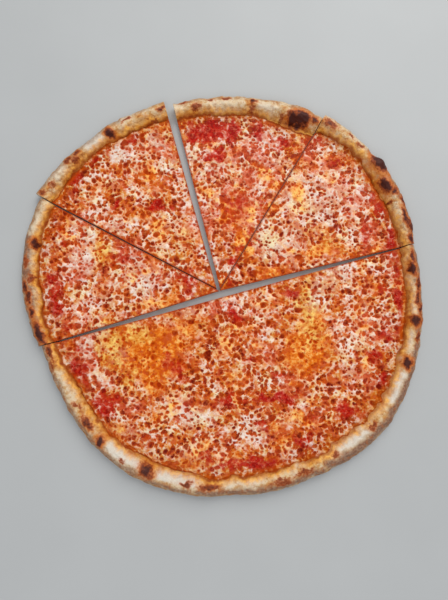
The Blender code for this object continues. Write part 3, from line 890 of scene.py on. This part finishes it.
def topping_material(name, sizes, roughness, specular, bump):
    """Cheese or sauce: a net of cheese, with the sauce in the pits between."""
    material, tree = material_tree(name)
    place = tree.object_place()
    bare, oil, creamy, yellow = tree.attributes("bare", "oil", "creamy", "yellow")
    rosy_sheen, edge, from_cut = tree.attributes("rosy_sheen", "edge", "from_cut")
    spacings = (sizes.pit_spacing, sizes.fine_spacing, sizes.large_spacing)
    pits = pit_field(tree, place, bare, oil, creamy, spacings)
    fine = tree.noise(place, 0.0016)
    grains = fine.swing(1, 0.2)
    middle = tree.noise(place, 0.006).swing(1)
    broad = tree.noise(place, 0.017).swing(1)
    flecks = tree.noise(place + (0.3, 0.6, 0), 0.0036).swing(1, 0.28)
    cool = tree.noise(place + (0.9, 0.4, 0), 0.0105).smooth(0.47, 0.62)
    warm = tree.noise(place + (0.2, 0.9, 0), 0.0085, 2, 0.5).smooth(0.42, 0.66)
    patch = broad * 0.25 + middle * 0.2

    # Where oil, sauce and yellow cheese lie, where a painted sheen of the sky lies on the cheese, and how thick
    # the cheese is.
    drift = tree.noise(place + (0.7, 0.3, 0), 0.03).scaled(0.3, 0.7, -0.9, 1.2) * 0.7
    oily = (tree.math("MAXIMUM", oil, drift) + patch).smooth(0.12, 0.85, 0, 0.96)
    saucy = (bare - patch * bare.smooth(0, 0.35, 0.45, 1)).smooth(0.15, 0.8)
    gilded = (yellow + patch * 0.7).smooth(0.1, 0.85, 0, 0.85)
    yellow = tree.noise(place + (0.5, 0.1, 0), 0.014).smooth(0.46, 0.62) * 0.5
    yellow = tree.math("MAXIMUM", yellow, gilded)
    rosy_sheen = (rosy_sheen + patch * -0.8).smooth(0.05, 0.9)
    zone = middle * 0.55 + broad * 0.66 + creamy * 0.48
    vivid = zone.smooth(0.05, -0.65)
    thick = zone + grains * 0.06 + flecks * 0.24 + pits.smooth(-0.0002, 0.0008, 0.04, 0.5)
    thick = thick - pits.smooth(0.0012, 0.0028, 0, 0.18)

    shiny = tree.ramp(thick, (0, (204, 78, 0)), (0.45, sizes.oil), (1, sizes.oil_light))
    shiny = tree.mix(gilded, shiny, tree.mix(thick, (212, 118, 6), (244, 202, 106)))
    veiled = tree.ramp(thick, (0.1, sizes.sauce_bare), (0.55, (202, 62, 44)), (1, sizes.sauce_veil))
    veiled = tree.mix(oily * 0.55, veiled, tree.mix(thick, (196, 62, 4), (232, 134, 60)))
    net = tree.coats(
        tree.ramp(thick, (0, sizes.halo), (0.3, sizes.peach), (0.62, sizes.cheese), (1, sizes.white)),
        thick,
        (yellow, (216, 130, 18), (238, 216, 142)),
        (cool * 0.42, (210, 108, 88), (228, 206, 206)),
        # painted reflection: the rosy coat lays a pinkish-white sheen of the sky on the cheese
        (vivid * 0.8, (206, 84, 0), (232, 148, 40)),
        (rosy_sheen * 0.5, (220, 102, 78), (236, 210, 206)),
        ((creamy - patch).smooth(0.1, 0.9, 0, 0.36), (224, 212, 194)),
        (oily, shiny),
        (saucy, veiled),
    )

    depth = pits.scaled(0.0002, -0.0011) + grains * 0.12 + middle * 0.2
    deep = tree.coats(
        tree.ramp(depth, (0, (202, 44, 16)), (0.6, (184, 24, 10)), (1, (150, 12, 4))),
        depth,
        (flecks.smooth(0, 1, 0, 0.6), (222, 114, 86)),
        (oily * 0.65, (190, 54, 4)),
    )
    hollow = tree.coats(
        tree.ramp(depth, (0, sizes.pit_edge), (0.45, (160, 46, 6)), (1, sizes.pit_core)),
        depth,
        (zone.smooth(0, 0.65, 0, 0.6), tree.ramp(depth, (0, (204, 122, 72)), (1, (160, 68, 28)))),
        (vivid * 0.55, (204, 74, 0), (140, 30, 0)),
        (warm * 0.55, (210, 84, 14)),
        (cool * 0.5, tree.ramp(depth, (0, (196, 72, 48)), (1, (124, 12, 12)))),
        # painted reflection: the same sheen over the pits
        (rosy_sheen * 0.42, (220, 86, 52)),
        (flecks.smooth(0.1, 0.9, 0, 0.45), (222, 130, 72)),
        (flecks.smooth(-0.1, -0.8, 0, 0.8), (108, 16, 4)),
        (oily, tree.ramp(depth, (0, (212, 88, 0)), (1, (160, 44, 0)))),
        (saucy, deep),
    )
    colour = tree.mix((pits + grains * 0.0003).smooth(0.0004, -0.0003), net, hollow)
    # The zone varies the tone at random; the edge term is painted shade, darkening the toppings next to the
    # rim.
    colour = tree.shaded(colour, zone.scaled(-0.9, 0.9, 0.87, 1.06) * edge.smooth(0, 0.03, 0.86, 1))

    # Browned specks, the oily edge along the rim, and a darker strip along the cuts, partly the cheese that
    # pulled back and browned there and partly painted shade in the gap between the pieces.
    wobble = tree.noise(place, 0.0022, 2, 0.5, 1) * 0.0022
    away, chosen = tree.cells(place + wobble, 1 / 0.0028)
    speck = (away - chosen[0].scaled(0.55, 1, 0, 0.4)).smooth(0.1, -0.08)
    colour = tree.coats(
        colour,
        thick,
        (speck * 0.65, (166, 70, 26)),
        ((edge + broad * 0.002).smooth(0.007, 0.0005) * 0.45, (186, 84, 8), (230, 160, 72)),
        ((edge + middle * 0.0006).smooth(0.002, 0.0006) * 0.8, (146, 54, 2)),
        ((from_cut + middle * 0.001).smooth(0.0026, 0.0004) * 0.8, (164, 58, 10)),
    )
    finish(tree, colour, roughness, specular, (bump, 0.0004, fine))
    return material


# Operators


def add_object(name, data):
    made = bpy.data.objects.new(name, data)
    bpy.context.scene.collection.objects.link(made)
    return made


def settle(piece, name, layer):
    """Puts a finished layer on the frame in place of its solid."""
    piece.data.shade_smooth()
    piece.data.set_sharp_from_angle(angle=SHARP_ANGLE)
    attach(piece, BODY)
    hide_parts(f"{name}_{layer}")


def spread(scene, layer, look, material, spacing, bottom, margin, inset):
    """Lays one layer of toppings over every piece."""
    group = relief_tree(layer.title() + " surface", layer == "cheese")
    values = {label: getattr(scene.pizza_toppings, label.lower().replace(" ", "_")) for label in GROUP_MEASURES}
    values.update({"Lowest": bottom + 0.0001, "Material": material})
    for name, piece in PIECES.items():
        mesh = topping_sheet(name, piece, scene.pizza_dough, spacing, bottom, margin, inset)
        settle(evaluated_piece(f"{name}_{look}", mesh, group, values), name, layer)


class PIZZA_OT_crusts(bpy.types.Operator):
    """Bake the crust of every piece"""

    bl_idname = "pizza.crusts"
    bl_label = "Crusts"

    def execute(self, context):
        sizes = context.scene.pizza_dough
        material = crust_material(sizes)
        for name, piece in PIECES.items():
            mesh = crust_mesh(name + "_baked_crust", piece, sizes)
            mesh.materials.append(material)
            settle(add_object(mesh.name, mesh), name, "crust")
        return {"FINISHED"}


class PIZZA_OT_sauce(bpy.types.Operator):
    """Spread the sauce on every piece"""

    bl_idname = "pizza.sauce"
    bl_label = "Sauce"

    def execute(self, context):
        sizes = context.scene.pizza_toppings
        material = topping_material("Tomato sauce", sizes, roughness=0.32, specular=0.05, bump=0.4)
        bottom = context.scene.pizza_dough.base_thickness - DIP
        spread(context.scene, "sauce", "tomato_sauce", material, sizes.grid * 1.25, bottom, 0.0022, 0)
        return {"FINISHED"}


class PIZZA_OT_cheese(bpy.types.Operator):
    """Melt the cheese on every piece"""

    bl_idname = "pizza.cheese"
    bl_label = "Cheese"

    def execute(self, context):
        sizes = context.scene.pizza_toppings
        material = topping_material("Melted cheese", sizes, roughness=0.3, specular=0.1, bump=0.5)
        bottom = sizes.sauce_level - 2 * DIP
        spread(context.scene, "cheese", "melted_cheese", material, sizes.grid, bottom, 0.0006, 0.00015)
        return {"FINISHED"}


def floor_material(colour):
    material, tree = material_tree("Table")
    cloud = tree.noise(tree.object_place(), 0.12, 3, 0.5)
    finish(tree, tree.shaded(colour, cloud.scaled(0.2, 0.8, 0.97, 1.03)), roughness=0.6, specular=0.5)
    return material


def soft_light(name, place, size, power, colour):
    """A square area light that faces the middle of the pizza."""
    lamp = bpy.data.lights.new(name, "AREA")
    lamp.energy = power
    lamp.size = size
    lamp.color = colour
    light = add_object(name, lamp)
    light.location = place
    light.rotation_euler = (-Vector(place)).to_track_quat("-Z", "Y").to_euler()


class PIZZA_OT_stage(bpy.types.Operator):
    """Set the table, the lights and the camera"""

    bl_idname = "pizza.stage"
    bl_label = "Stage"

    def execute(self, context):
        scene = context.scene
        settings = scene.pizza_stage
        mesh = bpy.data.meshes.new("table")
        mesh.from_pydata([(-12, -12, 0), (12, -12, 0), (12, 12, 0), (-12, 12, 0)], [], [(0, 1, 2, 3)])
        mesh.materials.append(floor_material(settings.floor))
        table = add_object("table", mesh)
        table.location.z = -0.0002

        soft_light("Window", (0.56, 1.24, 1.42), 1.5, 28.5, (1, 0.985, 0.96))
        soft_light("Room", (-0.2, -1.28, 2), 1.6, 16, (0.97, 0.98, 1))
        world = bpy.data.worlds.new("Soft daylight")
        world.use_nodes = True
        background = world.node_tree.nodes["Background"].inputs
        background["Color"].default_value = (0.93, 0.96, 1, 1)
        background["Strength"].default_value = 0.46
        scene.world = world
        scene.view_settings.view_transform = "Standard"

        camera = bpy.data.cameras.new("Camera")
        camera.lens = settings.lens
        viewer = add_object("Camera", camera)
        back = Vector((0, -math.sin(settings.tilt), math.cos(settings.tilt)))
        viewer.location = Vector(LOOK_AT) + back * settings.distance
        viewer.rotation_euler = (settings.tilt, 0, 0)
        scene.camera = viewer
        return {"FINISHED"}


SETTINGS = {"pizza_dough": PizzaDough, "pizza_toppings": PizzaToppings, "pizza_stage": PizzaStage}
STEPS = (PIZZA_OT_crusts, PIZZA_OT_sauce, PIZZA_OT_cheese, PIZZA_OT_stage)


class PIZZA_PT_panel(bpy.types.Panel):
    """Sizes, colours and building steps of the pizza"""

    bl_label = "Pizza"
    bl_idname = "PIZZA_PT_panel"
    bl_space_type = "VIEW_3D"
    bl_region_type = "UI"
    bl_category = "Pizza"

    def draw(self, context):
        layout = self.layout
        for group in SETTINGS:
            settings = getattr(context.scene, group)
            column = layout.column(align=True)
            for name in settings.__annotations__:
                column.prop(settings, name)
        for step in STEPS:
            layout.operator(step.bl_idname)


CLASSES = (*SETTINGS.values(), *STEPS, PIZZA_PT_panel)


def register():
    for item in CLASSES:
        bpy.utils.register_class(item)
    for name, group in SETTINGS.items():
        setattr(bpy.types.Scene, name, bpy.props.PointerProperty(type=group))


def unregister():
    for name in SETTINGS:
        delattr(bpy.types.Scene, name)
    for item in reversed(CLASSES):
        bpy.utils.unregister_class(item)


def main():
    register()
    bpy.ops.pizza.crusts()
    bpy.ops.pizza.sauce()
    bpy.ops.pizza.cheese()
    bpy.ops.pizza.stage()


if __name__ == "__main__":
    main()
